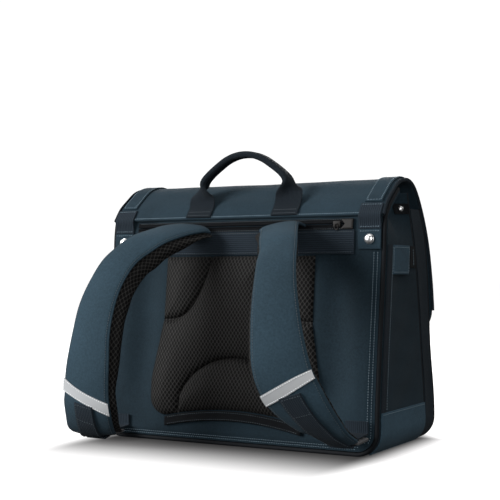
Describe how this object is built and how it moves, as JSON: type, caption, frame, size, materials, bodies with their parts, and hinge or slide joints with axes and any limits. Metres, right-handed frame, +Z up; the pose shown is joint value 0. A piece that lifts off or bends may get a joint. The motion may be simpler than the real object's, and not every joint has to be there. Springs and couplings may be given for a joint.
{
  "type": "school ransel",
  "caption": "Cloth school satchel in navy-teal canvas, with a flap, a mesh-padded back, padded shoulder straps with reflective bands and a carry handle.",
  "frame": {"origin": "Under the middle of the base, on the floor", "axes": "+X to the right seen from the harness side, +Y from the harness side to the closing side, +Z up"},
  "size_m": [0.3844, 0.3054, 0.3556],
  "materials": {
    "canvas": "matte woven navy-teal canvas",
    "canvas_dark": "matte woven canvas of the base and the front gusset",
    "webbing": "finely ribbed slate webbing",
    "black_trim": "black piping, zip tape and binding",
    "mesh": "black-brown spacer mesh with diamond holes",
    "reflector": "silver-grey reflective tape",
    "plastic": "dark grey moulded plastic",
    "steel": "bright plated steel"
  },
  "bodies": {
    "root": {"back_panel": "canvas", "front_panel": "canvas", "side_gusset_left": "canvas", "side_gusset_right": "canvas", "side_patch_left": "canvas", "side_patch_right": "canvas", "corner_patch_left": "canvas", "corner_patch_right": "canvas", "flap": "canvas", "corner_strip_left": "canvas", "corner_strip_right": "canvas", "rivet_patch_left": "canvas", "rivet_patch_right": "canvas", "strap_shell_left": "canvas", "strap_shell_right": "canvas", "base_panel": "canvas_dark", "front_gusset": "canvas_dark", "gusset_binding_left": "webbing", "gusset_binding_right": "webbing", "flap_binding_left": "webbing", "flap_binding_right": "webbing", "tab_webbing_left": "webbing", "tab_webbing_right": "webbing", "anchor_band": "webbing", "carry_handle": "webbing", "strap_webbing_left": "webbing", "strap_webbing_right": "webbing", "lower_webbing_left": "webbing", "lower_webbing_right": "webbing", "back_piping": "black_trim", "seam_piping": "black_trim", "front_piping": "black_trim", "side_webbing_left": "black_trim", "side_webbing_right": "black_trim", "gusset_tab_left": "black_trim", "gusset_tab_right": "black_trim", "zip_tape_upper": "black_trim", "zip_tape_lower": "black_trim", "zip_garage": "black_trim", "pad_binding": "black_trim", "mesh_pad_upper_left": "mesh", "mesh_pad_upper_right": "mesh", "mesh_pad_centre": "mesh", "mesh_pad_bottom": "mesh", "strap_lining_left": "mesh", "strap_lining_right": "mesh", "reflective_band_left": "reflector", "reflective_band_right": "reflector", "strap_buckle_left": "plastic", "strap_buckle_right": "plastic", "zip_slider": "plastic", "rivet_left": "steel", "rivet_right": "steel", "gusset_rivet_left": "steel", "gusset_rivet_right": "steel", "flap_clasp": "steel"}
  },
  "joints": []
}
